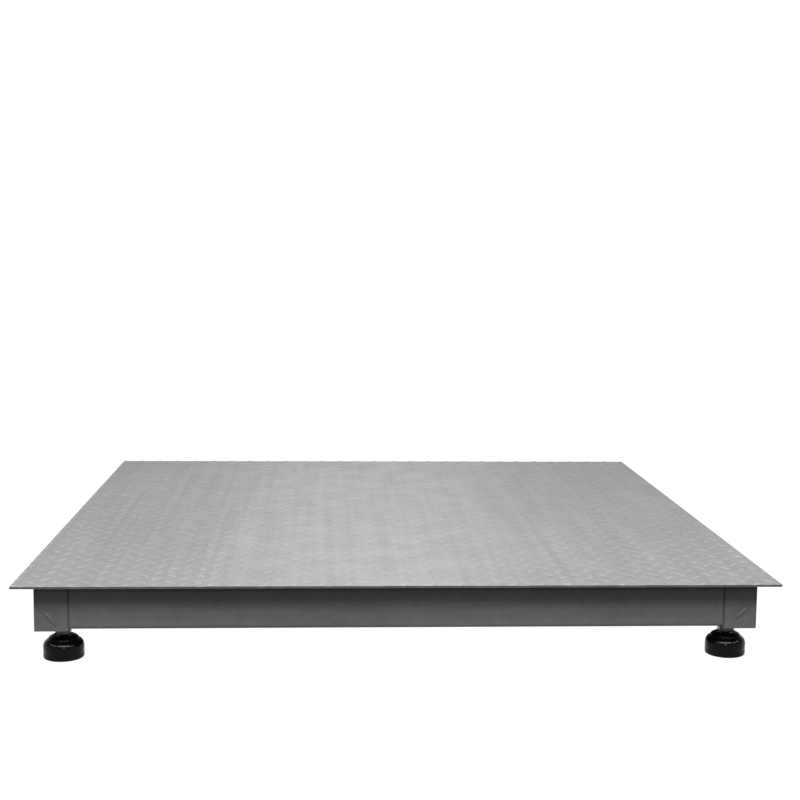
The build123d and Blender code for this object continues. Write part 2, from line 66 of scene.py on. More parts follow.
# ------------------------------------------------------------------ camera, lights, stage
CAMERA_AT = Vector((-0.1179, -2.7308, 0.6762))
CAMERA_YAW = 0.053  # to the right of +Y
CAMERA_PITCH = 0.1164  # downwards
CAMERA_ROLL = -0.0102
CAMERA_LENS = 62.1
SENSOR = 36.0
OVERHEAD_GREY = 0.3
FLOOR_RADIUS = 30.0
FLOOR_STEPS = 64
# Each light's place, what it faces, its two sides in metres and its power in watts.
LIGHTS = {
    "overhead": ((-0.05, -0.5, 2.4), (0, 0, 0), (0.8, 0.6), 30),
    "front": ((0.0, -2.6, 2.5), (0, -0.55, 0.03), (3.4, 0.9), 210),
    "back": ((0.1, 5.5, 2.4), (0, 0, 0.1), (1.5, 1.5), 15),
    "low": ((0.0, -3.2, 1.15), (0, -0.57, 0.05), (0.5, 0.35), 24),
    "left": ((-3.3, -1.9, 3.0), (-0.54, -0.57, 0.03), (3.2, 0.7), 100),
    "right": ((3.3, -1.9, 3.0), (0.54, -0.57, 0.03), (3.2, 0.7), 100),
}


def make_camera():
    """The camera at the viewing angle of the photograph."""
    ahead = Vector((math.sin(CAMERA_YAW), math.cos(CAMERA_YAW), 0))
    right = Vector((math.cos(CAMERA_YAW), -math.sin(CAMERA_YAW), 0))
    up = Vector((0, 0, 1))
    look = ahead * math.cos(CAMERA_PITCH) - up * math.sin(CAMERA_PITCH)
    top = ahead * math.sin(CAMERA_PITCH) + up * math.cos(CAMERA_PITCH)
    side = right * math.cos(CAMERA_ROLL) - top * math.sin(CAMERA_ROLL)
    top = right * math.sin(CAMERA_ROLL) + top * math.cos(CAMERA_ROLL)
    data = bpy.data.cameras.new("camera")
    data.lens = CAMERA_LENS
    data.sensor_width = SENSOR
    camera = bpy.data.objects.new("camera", data)
    columns = Matrix((side, top, -look)).transposed().to_4x4()
    camera.matrix_world = Matrix.Translation(CAMERA_AT) @ columns
    bpy.context.scene.collection.objects.link(camera)
    bpy.context.scene.camera = camera


def area_light(name, place, target, size, power):
    """A soft rectangular light that the camera doesn't see."""
    data = bpy.data.lights.new(name, "AREA")
    data.shape = "RECTANGLE"
    data.size, data.size_y = size
    data.energy = power
    light = bpy.data.objects.new(name, data)
    away = Vector(place) - Vector(target)
    light.matrix_world = Matrix.Translation(place) @ away.to_track_quat("Z", "Y").to_matrix().to_4x4()
    light.visible_camera = False
    bpy.context.scene.collection.objects.link(light)


def make_world():
    """A pale surround, white up to a low elevation and dimmer from half way up."""
    world = bpy.data.worlds.new("surround")
    world.use_nodes = True
    tree = world.node_tree
    place = tree.nodes.new("ShaderNodeTexCoord")
    split = tree.nodes.new("ShaderNodeSeparateXYZ")
    ramp = tree.nodes.new("ShaderNodeValToRGB")
    for element, position, value in zip(ramp.color_ramp.elements, (0.2, 0.5), (1.0, OVERHEAD_GREY)):
        element.position = position
        element.color = (value, value, value, 1)
    tree.links.new(place.outputs["Generated"], split.inputs[0])
    tree.links.new(split.outputs["Z"], ramp.inputs["Fac"])
    tree.links.new(ramp.outputs["Color"], tree.nodes["Background"].inputs["Color"])
    tree.nodes["Background"].inputs["Strength"].default_value = 1.0
    bpy.context.scene.world = world


def make_stage():
    """A white floor that glows, so that it shows no shadow."""
    mesh = bpy.data.meshes.new("floor")
    turns = [i * math.tau / FLOOR_STEPS for i in range(FLOOR_STEPS)]
    rim = [(math.cos(turn) * FLOOR_RADIUS, math.sin(turn) * FLOOR_RADIUS, 0) for turn in turns]
    mesh.from_pydata(rim, [], [list(range(FLOOR_STEPS))])
    floor = bpy.data.objects.new("floor", mesh)
    bpy.context.scene.collection.objects.link(floor)
    surface = Surface("floor_white", (0.05, 0.05, 0.05), 0.7)
    surface.tint(surface.noise(1.2, detail=2), (0.045, 0.045, 0.045), (0.055, 0.055, 0.055))
    surface.shader.inputs["Emission Color"].default_value = (1, 1, 1, 1)
    surface.shader.inputs["Specular IOR Level"].default_value = 0.0
    surface.shader.inputs["Emission Strength"].default_value = 1.0
    mesh.materials.append(surface.material)


# ------------------------------------------------------------------ material building
NOISE_ROUGHNESS = 0.55


class Surface:
    """A procedural material, built up from noises in the object's own coordinates."""

    def __init__(self, name, colour, roughness, metallic=0.0, specular=0.5):
        self.material = bpy.data.materials.new(name)
        self.material.use_nodes = True
        self.tree = self.material.node_tree
        self.shader = self.tree.nodes["Principled BSDF"]
        self.shader.inputs["Base Color"].default_value = (*colour, 1)
        self.shader.inputs["Roughness"].default_value = roughness
        self.shader.inputs["Metallic"].default_value = metallic
        self.shader.inputs["Specular IOR Level"].default_value = specular
        self.place = self.tree.nodes.new("ShaderNodeTexCoord").outputs["Object"]
        self.colour = None

    def node(self, kind, **settings):
        made = self.tree.nodes.new(kind)
        for key, value in settings.items():
            setattr(made, key, value)
        return made

    def link(self, start, end):
        self.tree.links.new(start, end)

    def stretched(self, stretch):
        mapping = self.node("ShaderNodeMapping")
        mapping.inputs["Scale"].default_value = stretch
        self.link(self.place, mapping.inputs["Vector"])
        return mapping.outputs["Vector"]

    def noise(self, scale, stretch=(1, 1, 1), detail=3):
        made = self.node("ShaderNodeTexNoise")
        made.inputs["Scale"].default_value = scale
        made.inputs["Detail"].default_value = detail
        made.inputs["Roughness"].default_value = NOISE_ROUGHNESS
        self.link(self.stretched(stretch), made.inputs["Vector"])
        return made.outputs["Fac"]

    def math(self, operation, a, b=0.0):
        made = self.node("ShaderNodeMath", operation=operation)
        for socket, value in zip(made.inputs, (a, b)):
            if isinstance(value, (int, float)):
                socket.default_value = value
            else:
                self.link(value, socket)
        return made.outputs[0]

    def axis(self, name, absolute=False):
        """One coordinate, in metres."""
        split = self.node("ShaderNodeSeparateXYZ")
        self.link(self.place, split.inputs[0])
        value = split.outputs[name]
        return self.math("ABSOLUTE", value) if absolute else value

    def between(self, value, low, high, to_low=0.0, to_high=1.0):
        """Maps value from low..high to to_low..to_high, smoothly, and holds it there outside."""
        made = self.node("ShaderNodeMapRange", interpolation_type="SMOOTHSTEP")
        for key, number in zip(("From Min", "From Max", "To Min", "To Max"), (low, high, to_low, to_high)):
            made.inputs[key].default_value = number
        self.link(value, made.inputs["Value"])
        return made.outputs[0]

    def tint(self, mask, low, high, at=(0.35, 0.65)):
        """Sets the colour, from low to high over the mask."""
        ramp = self.node("ShaderNodeValToRGB")
        for element, position, colour in zip(ramp.color_ramp.elements, at, (low, high)):
            element.position = position
            element.color = (*colour, 1)
        self.link(mask, ramp.inputs["Fac"])
        self.colour = ramp.outputs["Color"]
        self.link(self.colour, self.shader.inputs["Base Color"])

    def scale_colour(self, mask, low, high, at=(0.35, 0.65)):
        """Multiplies the colour by low..high over the mask."""
        self.multiply_colour(self.between(mask, *at, low, high))

    def multiply_colour(self, factor):
        """Multiplies the colour by a value."""
        mix = self.node("ShaderNodeVectorMath", operation="SCALE")
        self.link(self.colour, mix.inputs[0])
        self.link(factor, mix.inputs["Scale"])
        self.colour = mix.outputs["Vector"]
        self.link(self.colour, self.shader.inputs["Base Color"])

    def blend_to(self, mask, colour):
        """Mixes towards a colour by the mask."""
        mix = self.node("ShaderNodeMix", data_type="RGBA")
        self.link(mask, mix.inputs["Factor"])
        self.link(self.colour, mix.inputs[6])
        mix.inputs[7].default_value = (*colour, 1)
        self.colour = mix.outputs[2]
        self.link(self.colour, self.shader.inputs["Base Color"])

    def gloss(self, mask, low, high, at=(0.35, 0.65)):
        """Roughness from low to high over the mask."""
        self.link(self.between(mask, *at, low, high), self.shader.inputs["Roughness"])

    def bump(self, height, depth, strength=1.0):
        """Bump of a depth in metres; calls add up."""
        made = self.node("ShaderNodeBump")
        made.inputs["Distance"].default_value = depth
        made.inputs["Strength"].default_value = strength
        self.link(height, made.inputs["Height"])
        normal = self.shader.inputs["Normal"]
        if normal.is_linked:
            self.link(normal.links[0].from_socket, made.inputs["Normal"])
        self.link(made.outputs["Normal"], normal)


def grey(value):
    return (value, value, value * 1.01)


# Heights above the deck's top, or distances inwards from its rim, between which its paint changes.
# Lug tops lighter: partly paint rubbed by hooves, partly a painted highlight.
LUG_WEAR_AND_HIGHLIGHT = (0.05 * MM, 0.6 * MM)
# Painted shade on the deck's sheared edge and underside.
EDGE_SHADE = (-0.9 * MM, -0.2 * MM)
RIM_WORN = (3.5 * MM, 0.4 * MM)


def deck_paint():
    """Grey enamel over tread plate: drawn-out streaks, lug tops lighter from wear and a painted highlight,
    worn rim, and painted shade on the sheared edge and underside.
    """
    s = Surface("deck_paint", grey(0.22), 0.42)
    s.tint(s.noise(3.0, detail=4), grey(0.117), grey(0.124))
    s.scale_colour(s.noise(1.0, (70, 1.6, 1), detail=4), 0.94, 1.06)
    s.scale_colour(s.noise(260, detail=2), 0.97, 1.02)
    height = s.axis("Z")
    # Lug tops lighter: partly paint rubbed by hooves, partly a painted highlight on the raised tread.
    s.scale_colour(height, 1.0, 1.27, [DECK_TOP + up for up in LUG_WEAR_AND_HIGHLIGHT])
    rim = s.math("MAXIMUM", s.axis("X", True), s.axis("Y", True))
    near_rim = s.between(rim, *(DECK_HALF - inwards for inwards in RIM_WORN))
    worn = s.math("MULTIPLY", near_rim, s.noise(55, detail=4))
    s.blend_to(s.between(worn, 0.42, 0.62, 0, 0.35), grey(0.3))
    # Painted shade: everything below the deck's top, the sheared edge and underside, is darkened to 0.12.
    s.scale_colour(height, 0.12, 1.0, [DECK_TOP + up for up in EDGE_SHADE])
    s.gloss(s.noise(14, detail=4), 0.40, 0.46)
    s.bump(s.noise(700, detail=2), 0.05 * MM, 0.5)
    s.bump(s.noise(24, detail=2), 0.08 * MM, 0.35)
    return s.material


# Painted shade under the deck's overhang: depths below the deck's underside for the frame paint's
# darkening.
SHADE_LEAST = 0.8 * MM  # below the deck; nearer to it the paint gets no darker
SHADE_REACH = 65 * MM  # below the deck, where the paint has its full colour
PLATE_LUG_HIGHLIGHT = (0.5 * MM, 1.7 * MM)  # out from the end plates


def frame_paint():
    """Dark grey enamel on rolled steel, with painted shade growing darker up under the deck's overhang."""
    # The base grey is set darker than the deck paint's grey as painted shade, since the upright frame faces
    # get less light than the deck.
    s = Surface("frame_paint", grey(0.06), 0.42, specular=0.08)
    s.tint(s.noise(5.0, detail=4), grey(0.039), grey(0.045))
    # Painted shade under the deck's overhang: the colour scales with the square root of the depth below the
    # deck's underside.
    below = s.math("MAXIMUM", s.math("SUBTRACT", DECK_UNDERSIDE, s.axis("Z")), SHADE_LEAST)
    s.multiply_colour(s.math("POWER", s.math("MULTIPLY", below, 1 / SHADE_REACH), 0.5))
    # Painted highlight: the raised lugs on the end plates are made lighter.
    s.scale_colour(s.axis("Y", True), 1.0, 1.1, [PLATE_FACE + out for out in PLATE_LUG_HIGHLIGHT])
    s.scale_colour(s.noise(60, detail=3), 0.95, 1.05)
    s.scale_colour(s.noise(2.0, (1, 1, 40), detail=3), 0.96, 1.04)
    s.gloss(s.noise(18, detail=4), 0.36, 0.52)
    s.bump(s.noise(520, detail=2), 0.06 * MM, 0.6)
    s.bump(s.noise(30, detail=2), 0.3 * MM, 0.35)
    return s.material


def rib_paint():
    """The same enamel, thinner, on the parts under the deck."""
    s = Surface("rib_paint", grey(0.12), 0.5)
    s.tint(s.noise(6.0, detail=4), grey(0.115), grey(0.14))
    s.scale_colour(s.noise(2.0, (40, 1, 40), detail=3), 0.93, 1.05)
    s.gloss(s.noise(20, detail=4), 0.44, 0.6)
    s.bump(s.noise(480, detail=2), 0.07 * MM, 0.6)
    return s.material


def plated(name, colour, roughness, stretch, streak):
    """Bright metal with fine lines of machining along one direction."""
    s = Surface(name, colour, roughness, metallic=1.0)
    darker = tuple(c * 0.86 for c in colour)
    s.tint(s.noise(40, detail=4), darker, colour)
    s.scale_colour(s.noise(1.0, stretch, detail=3), 1 - streak, 1 + streak)
    s.gloss(s.noise(90, detail=3), roughness * 0.8, roughness * 1.3)
    s.bump(s.noise(1.0, stretch, detail=2), 0.02 * MM, 0.5)
    return s.material


def moulded(name, colour, roughness, grain, depth, specular=0.5):
    """Moulded plastic or rubber with a fine grain and faint flow marks."""
    s = Surface(name, colour, roughness, specular=specular)
    s.tint(s.noise(22, detail=4), tuple(c * 0.88 for c in colour), tuple(c * 1.1 for c in colour))
    s.gloss(s.noise(60, detail=3), roughness * 0.85, roughness * 1.2)
    s.bump(s.noise(grain, detail=2), depth, 0.6)
    return s.material


def circuit_board():
    """Green lacquer with fine square tracks under it."""
    s = Surface("board_green", (0.02, 0.15, 0.06), 0.3)
    s.tint(s.noise(30, detail=3), (0.018, 0.13, 0.05), (0.03, 0.18, 0.075))
    tracks = s.node("ShaderNodeTexBrick")
    tracks.inputs["Scale"].default_value = 260
    s.link(s.place, tracks.inputs["Vector"])
    s.blend_to(s.math("MULTIPLY", tracks.outputs["Fac"], 0.5), (0.05, 0.3, 0.12))
    s.gloss(s.noise(80, detail=2), 0.25, 0.4)
    return s.material


def make_materials():
    """One procedural material for each slot of the record."""
    return {
        "deck_paint": deck_paint(),
        "frame_paint": frame_paint(),
        "rib_paint": rib_paint(),
        "cell_nickel": plated("cell_nickel", (0.66, 0.63, 0.57), 0.3, (900, 30, 900), 0.06),
        "zinc_steel": plated("zinc_steel", (0.62, 0.63, 0.66), 0.32, (300, 300, 900), 0.08),
        "stud_chrome": plated("stud_chrome", (0.035, 0.035, 0.037), 0.2, (200, 200, 1500), 0.05),
        "liner_acetal": moulded("liner_acetal", (0.80, 0.80, 0.76), 0.4, 900, 0.02 * MM),
        "ring_steel": plated("ring_steel", (0.56, 0.56, 0.58), 0.3, (200, 200, 1600), 0.08),
        "cup_rubber": moulded("cup_rubber", (0.0008, 0.0008, 0.0008), 0.12, 500, 0.01 * MM, 0.09),
        "boot_rubber": moulded("boot_rubber", (0.001, 0.001, 0.001), 0.3, 700, 0.03 * MM, 0.04),
        "sole_rubber": moulded("sole_rubber", (0.012, 0.012, 0.012), 0.75, 800, 0.06 * MM, 0.3),
        "box_plastic": moulded("box_plastic", (0.42, 0.43, 0.44), 0.5, 1200, 0.06 * MM),
        "gasket_rubber": moulded("gasket_rubber", (0.02, 0.02, 0.02), 0.7, 900, 0.04 * MM, 0.3),
        "board_green": circuit_board(),
        "terminal_plastic": moulded("terminal_plastic", (0.03, 0.22, 0.10), 0.4, 900, 0.02 * MM),
        "gland_nylon": moulded("gland_nylon", (0.025, 0.025, 0.026), 0.42, 900, 0.03 * MM, 0.4),
        "lead_pvc": moulded("lead_pvc", (0.03, 0.03, 0.032), 0.45, 1100, 0.03 * MM, 0.4),
        "clip_nylon": moulded("clip_nylon", (0.66, 0.65, 0.60), 0.45, 900, 0.03 * MM),
    }


def paint_nodes(materials):
    """Gives each CAD node the procedural material of its slot."""
    for part in frame["record"]["subparts"]:
        mesh = frame["nodes"][part["node"]].data
        mesh.materials.clear()
        mesh.materials.append(materials[part["material_slot"]])


# ------------------------------------------------------------------ mesh helpers
LUG_ROOT = 0.3 * MM  # how far a lug's foot is sunk into its plate
LUG_DOME = ((0.86, 0.52), (0.66, 0.85), (0.36, 0.98))  # shares of the outline and of the height


def new_piece(name, made, body, slot, materials):
    """Turns a bmesh into a smooth-shaded piece that rides on a body."""
    bmesh.ops.recalc_face_normals(made, faces=made.faces)
    mesh = bpy.data.meshes.new(name)
    made.to_mesh(mesh)
    made.free()
    mesh.materials.append(materials[slot])
    mesh.shade_smooth()
    piece = bpy.data.objects.new(name, mesh)
    bpy.context.scene.collection.objects.link(piece)
    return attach(piece, body)


def close_ring(made, near, far):
    """Joins two rings of vertices by a band of faces."""
    for i in range(len(near)):
        j = (i + 1) % len(near)
        made.faces.new((near[i], near[j], far[j], far[i]))


def add_lug(made, place, long, wide, high, chord=0.5, steps=7):
    """A closed domed tread lug. place maps the lug's plane, long side along X, to the row frame.

    chord is the share of the width on the -Y side, so 0.5 is an even lens and 0 a straight chord.
    """
    outline = []
    for i in range(2 * steps):
        t = (i % steps) / steps
        x = (1 - 2 * t) * long / 2 * (1 if i < steps else -1)
        bow = 1 - (2 * x / long) ** 2
        outline.append(Vector((x, bow * wide * (1 - chord) if i < steps else -bow * wide * chord, 0)))
    middle = Vector((0, wide * (0.5 - chord), 0))
    rings = []
    levels = [(1.0, -LUG_ROOT), (1.0, 0.0)] + [(share, rise * high) for share, rise in LUG_DOME]
    for share, rise in levels:
        points = [middle + (p - middle) * share + Vector((0, 0, rise)) for p in outline]
        rings.append([made.verts.new(place @ p) for p in points])
    count = len(outline)
    for low, top in zip(rings, rings[1:]):
        close_ring(made, low, top)
    crown = made.verts.new(place @ (middle + Vector((0, 0, high))))
    for i in range(count):
        made.faces.new((rings[-1][i], rings[-1][(i + 1) % count], crown))
    made.faces.new(reversed(rings[0]))


def trim(made, plane_at, outward):
    """Cuts away what lies beyond a plane and closes the cut."""
    cut = bmesh.ops.bisect_plane(
        made,
        geom=made.verts[:] + made.edges[:] + made.faces[:],
        plane_co=plane_at,
        plane_no=outward,
        clear_outer=True,
        dist=1e-7,
    )
    edges = [e for e in cut["geom_cut"] if isinstance(e, bmesh.types.BMEdge)]
    bmesh.ops.edgeloop_fill(made, edges=[e for e in edges if e.is_boundary])


# ------------------------------------------------------------------ tread
TREAD_COUNT = 28
TREAD_PHASE = 0.58
LUG_LONG = 29.0 * MM
LUG_WIDE = 9.0 * MM
LUG_HIGH = 0.85 * MM
TREAD_MARGIN = 1.0 * MM  # bare rim along the deck's edges


def make_tread(materials):
    """Lugs on a square lattice, every second one turned the other way, cut through at the deck's edges."""
    pitch = 2 * DECK_HALF / TREAD_COUNT
    made = bmesh.new()
    limit = DECK_HALF + 0.34 * LUG_LONG  # a lug centred further out doesn't reach the deck
    for i in range(-1, TREAD_COUNT + 1):
        for j in range(-1, TREAD_COUNT + 1):
            for turn, shift in ((-45, 0.0), (45, 0.5)):
                x = -DECK_HALF + (i + TREAD_PHASE + shift) * pitch
                y = -DECK_HALF + (j + TREAD_PHASE + shift) * pitch
                if max(abs(x), abs(y)) > limit:
                    continue
                at = Matrix.Translation((x, y, DECK_TOP)) @ Matrix.Rotation(math.radians(turn), 4, "Z")
                add_lug(made, at, LUG_LONG, LUG_WIDE, LUG_HIGH)
    for outward in (Vector((1, 0, 0)), Vector((-1, 0, 0)), Vector((0, 1, 0)), Vector((0, -1, 0))):
        trim(made, outward * (DECK_HALF - TREAD_MARGIN), outward)
    return new_piece("deck_lugs", made, "platform", "deck_paint", materials)


PLATE_LUG_LONG = 37.5 * MM
PLATE_LUG_WIDE = 7.6 * MM
PLATE_LUG_HIGH = 2.4 * MM
PLATE_LUG_CHORD = 0.36
# For each end plate: slope in degrees, then shift outwards and height above the plate's lower edge.
PLATE_LUGS = {
    "front_left": (50.0, 2.7 * MM, 22.5 * MM),
    "front_right": (42.0, 1.2 * MM, 25.5 * MM),
    "rear_left": (46.0, 2.0 * MM, 24.0 * MM),
    "rear_right": (46.0, 2.0 * MM, 24.0 * MM),
}


def make_plate_lugs(materials):
    """The one tread lug on each end plate, sloping down towards the scale's middle."""
    for corner, (side, end) in CORNERS.items():
        made = bmesh.new()
        low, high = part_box(f"end_plate_{corner}")
        middle = (low + high) / 2
        slope, shift, rise = PLATE_LUGS[corner]
        x = middle.x + side * shift
        face = low.y if end < 0 else high.y
        slope = math.radians(slope)
        # The lug's own X runs down and inwards, its own Z out of the plate, its bowed side up and inwards.
        along = Vector((-side * math.cos(slope), 0, -math.sin(slope)))
        out = Vector((0, end, 0))
        across = Vector((-side * math.sin(slope), 0, math.cos(slope)))
        turn = Matrix((along, across, out)).transposed().to_4x4()
        at = Matrix.Translation((x, face, PLATE_BOTTOM + rise)) @ turn
        add_lug(made, at, PLATE_LUG_LONG, PLATE_LUG_WIDE, PLATE_LUG_HIGH, PLATE_LUG_CHORD, steps=12)
        new_piece(f"end_plate_lug_{corner}", made, "platform", "frame_paint", materials)


# ------------------------------------------------------------------ feet
# The feet's sizes are in millimetres, heights from the floor, and angles in degrees.
FOOT_SEGMENTS = 96
STUD_SEGMENTS = 48
SOLE_GAP = (0.15, 0.1)  # between sole pad and cup, sideways and upwards
CUP_EDGE = 2.4  # rounding at the cup's foot
CUP_WALL_TOP = 20.0
CUP_SHOULDER = 11.88  # rounding of the shoulder
CUP_SHOULDER_TURN = 67
CUP_FLAT_EDGE = 25.1  # radius where the flat top starts
PARTING_LINE = 9.9
PARTING_GROOVE = ((0.0, -0.5), (0.12, -0.2), (0.12, 0.2), (0.0, 0.5))  # inwards, above the line
BALL_CENTRE = 21.0
BALL_RADIUS = 9.5
BALL_TURNS = (-86, 46)
SOCKET_RADIUS = 14.2
SOCKET_MOUTH = 12.36
SOCKET_MOUTH_LOW = 28.0
SOCKET_TURNS = (29.5, -84)
SOCKET_HOLE = 1.4
BOOT_WALL = 2.4
BOOT_FLANK = ((0.5, 5.5), (1.6, 4.0), (3.3, 2.6), (5.3, 1.6), (6.9, 1.0), (7.4, 0.85))  # inwards, down
BOOT_RIM = (8.4, 0.8)  # centre of the rolled rim inwards from the boot's foot, and its radius
BOOT_MOUTH = ((11.0, 0.0), (10.4, 0.2), (10.1, 0.7), (10.1, 2.4), (13.6, 2.4))  # radius, down
HEX_HEIGHTS = (40.4, 50.4)
HEX_STEPS = 72
HEX_CHAMFER = (0.035, 0.021)  # inwards and upwards, as shares of the width across flats
HEX_CORNER_WEAR = 0.995
NECK_RADIUS = 6.5
NECK_LOW = BALL_CENTRE + 7.0
STUD_RADIUS = 6.0
STUD_ROOT = 5.1
STUD_TIP_RADIUS = 4.8
STUD_TIP_CHAMFER = 1.6
STUD_CENTRE = 0.4  # radius of the centre hole left by the lathe
STUD_OVERLAP = 0.2
THREAD_PITCH = 1.75
THREAD_DEPTH = 0.9
THREAD_STEPS = 32
THREAD_SHAPE = ((0.0, 0.0), (0.38, 1.0), (0.5, 1.0), (0.88, 0.0))  # along the pitch, share of the depth
THREAD_ENDS = (0.6, 1.0)  # plain lengths above the hexagon and below the tip


def lathe(made, axis_at, profile, segments=FOOT_SEGMENTS, closed=False):
    """Turns a profile of (radius, height) points, in millimetres, about an upright axis."""
    rings = []
    for radius, height in profile:
        ring = []
        for i in range(segments):
            angle = i * math.tau / segments
            out = Vector((math.cos(angle), math.sin(angle), 0)) * radius * MM
            ring.append(made.verts.new(axis_at + out + Vector((0, 0, height * MM))))
        rings.append(ring)
    pairs = list(zip(rings, rings[1:]))
    if closed:
        pairs.append((rings[-1], rings[0]))
    for low, top in pairs:
        close_ring(made, low, top)
    return rings


def arc(centre, radius, start, end, steps):
    """Points of an arc in the profile's plane, angles in degrees from +radius towards +height."""
    turns = [math.radians(start + (end - start) * i / steps) for i in range(steps + 1)]
    return [(centre[0] + radius * math.cos(a), centre[1] + radius * math.sin(a)) for a in turns]


def foot_sizes():
    """Sizes of the foot in millimetres, read from the frame."""
    cup_low, cup_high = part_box("foot_cup_front_left")
    boot_low, boot_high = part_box("foot_boot_front_left")
    sole_low, sole_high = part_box("sole_pad_front_left")
    stud_low, stud_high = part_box("foot_stud_front_left")
    return {
        "cup_radius": (cup_high.x - cup_low.x) / 2 / MM,
        "cup_low": cup_low.z / MM,
        "cup_top": cup_high.z / MM,
        "boot_radius": (boot_high.x - boot_low.x) / 2 / MM,
        "boot_top": boot_high.z / MM,
        "sole_radius": (sole_high.x - sole_low.x) / 2 / MM,
        "sole_top": sole_high.z / MM,
        "hex_flats": (stud_high.y - stud_low.y) / MM,
        "stud_top": stud_high.z / MM,
    }


def cup_profile(f):
    """Moulded cup: rounded foot, parting line, straight wall, rounded shoulder, flat top and socket."""
    side = f["cup_radius"]
    recess = f["sole_radius"] + SOLE_GAP[0]
    ceiling = f["sole_top"] + SOLE_GAP[1]
    points = [(recess, ceiling), (recess, f["cup_low"])]
    points += arc((side - CUP_EDGE, f["cup_low"] + CUP_EDGE), CUP_EDGE, -90, 0, 6)
    points += [(side - inwards, PARTING_LINE + up) for inwards, up in PARTING_GROOVE]
    points += arc((side - CUP_SHOULDER, CUP_WALL_TOP), CUP_SHOULDER, 0, CUP_SHOULDER_TURN, 16)
    points += [(CUP_FLAT_EDGE, f["cup_top"]), (SOCKET_MOUTH, f["cup_top"])]
    points += [(SOCKET_MOUTH, SOCKET_MOUTH_LOW)]
    points += arc((0, BALL_CENTRE), SOCKET_RADIUS, *SOCKET_TURNS, 20)
    points += [(SOCKET_HOLE, ceiling)]
    return points


def boot_profile(f):
    """Domed rubber boot with a rolled rim."""
    base, top, seat = f["boot_radius"], f["boot_top"], f["cup_top"]
    inwards, rim = BOOT_RIM
    points = [(base - BOOT_WALL, seat), (base - 0.3, seat), (base, seat + 0.4)]
    points += [(base - flank, top - down) for flank, down in BOOT_FLANK]
    points += arc((base - inwards, top - rim), rim, 5, 90, 5)
    points += [(radius, top - down) for radius, down in BOOT_MOUTH]
    return points


def add_hexagon(made, axis_at, flats, low, high):
    """A chamfered hexagonal collar, heights and width across flats in millimetres."""
    corner = HEX_CORNER_WEAR * flats / math.sqrt(3)
    inwards, up = (share * flats for share in HEX_CHAMFER)
    rings = []
    for height, cut in ((low, inwards), (low + up, 0), (high - up, 0), (high, inwards)):
        ring = []
        for i in range(HEX_STEPS):
            angle = i * math.tau / HEX_STEPS
            within = (angle % (math.tau / 6)) - math.tau / 12
            radius = min(flats / 2 / math.cos(within), corner - cut)
            turned = angle + math.tau / 12
            out = Vector((math.cos(turned), math.sin(turned), 0)) * radius * MM
            ring.append(made.verts.new(axis_at + out + Vector((0, 0, height * MM))))
        rings.append(ring)
    for below, above in zip(rings, rings[1:]):
        close_ring(made, below, above)
    made.faces.new(list(reversed(rings[0])))
    made.faces.new(rings[-1])


def add_thread(made, axis_at, low, high):
    """A right-hand screw thread between two heights in millimetres, run out at both ends."""
    count = int((high - low) / THREAD_PITCH * THREAD_STEPS)
    columns = []
    for k in range(count + 1):
        angle = k * math.tau / THREAD_STEPS
        fade = min(1.0, k / THREAD_STEPS, (count - k) / THREAD_STEPS)
        column = []
        for along, depth in THREAD_SHAPE:
            height = low + (k / THREAD_STEPS + along - 0.5) * THREAD_PITCH
            height = min(max(height, low), high)
            out = STUD_RADIUS - depth * fade * THREAD_DEPTH
            point = Vector((math.cos(angle) * out, math.sin(angle) * out, height)) * MM
            column.append(made.verts.new(axis_at + point))
        columns.append(column)
    for near, far in zip(columns, columns[1:]):
        for i in range(len(THREAD_SHAPE) - 1):
            made.faces.new((near[i], far[i], far[i + 1], near[i + 1]))
    for k in range(count - THREAD_STEPS):
        crest, beside = columns[k][-1], columns[k + 1][-1]
        above, above_beside = columns[k + THREAD_STEPS][0], columns[k + 1 + THREAD_STEPS][0]
        made.faces.new((crest, beside, above_beside, above))


def add_stud(made, axis_at, flats, tip):
    """Ball, neck, hexagon and threaded shank of a foot's stud."""
    hex_low, hex_high = HEX_HEIGHTS
    ball = arc((0, BALL_CENTRE), BALL_RADIUS, *BALL_TURNS, 24)
    neck = [(NECK_RADIUS, NECK_LOW), (NECK_RADIUS, hex_low + STUD_OVERLAP)]
    rings = lathe(made, axis_at, ball + neck, STUD_SEGMENTS)
    made.faces.new(list(reversed(rings[0])))
    add_hexagon(made, axis_at, flats, hex_low, hex_high)
    core = [(STUD_RADIUS, hex_high - STUD_OVERLAP), (STUD_ROOT, hex_high + 1.0)]
    core += [(STUD_ROOT, tip - STUD_TIP_CHAMFER), (STUD_TIP_RADIUS, tip), (STUD_CENTRE, tip)]
    lathe(made, axis_at, core, STUD_SEGMENTS)
    add_thread(made, axis_at, hex_high + THREAD_ENDS[0], tip - THREAD_ENDS[1])


def make_foot(corner, materials):
    """Cup, boot and threaded stud of one foot, in place of their CAD nodes."""
    f = foot_sizes()
    low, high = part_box(f"foot_cup_{corner}")
    axis_at = Vector(((low.x + high.x) / 2, (low.y + high.y) / 2, 0))

    made = bmesh.new()
    lathe(made, axis_at, cup_profile(f), closed=True)
    cup = new_piece(f"cup_{corner}_moulded", made, f"cup_{corner}", "cup_rubber", materials)
    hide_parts(f"foot_cup_{corner}")

    made = bmesh.new()
    lathe(made, axis_at, boot_profile(f), closed=True)
    boot = new_piece(f"boot_{corner}_moulded", made, f"cup_{corner}", "boot_rubber", materials)
    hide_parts(f"foot_boot_{corner}")

    made = bmesh.new()
    add_stud(made, axis_at, f["hex_flats"], f["stud_top"])
    stud = new_piece(f"stud_{corner}_threaded", made, f"stud_{corner}", "stud_chrome", materials)
    stud.data.set_sharp_from_angle(angle=math.radians(35))
    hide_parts(f"foot_stud_{corner}")


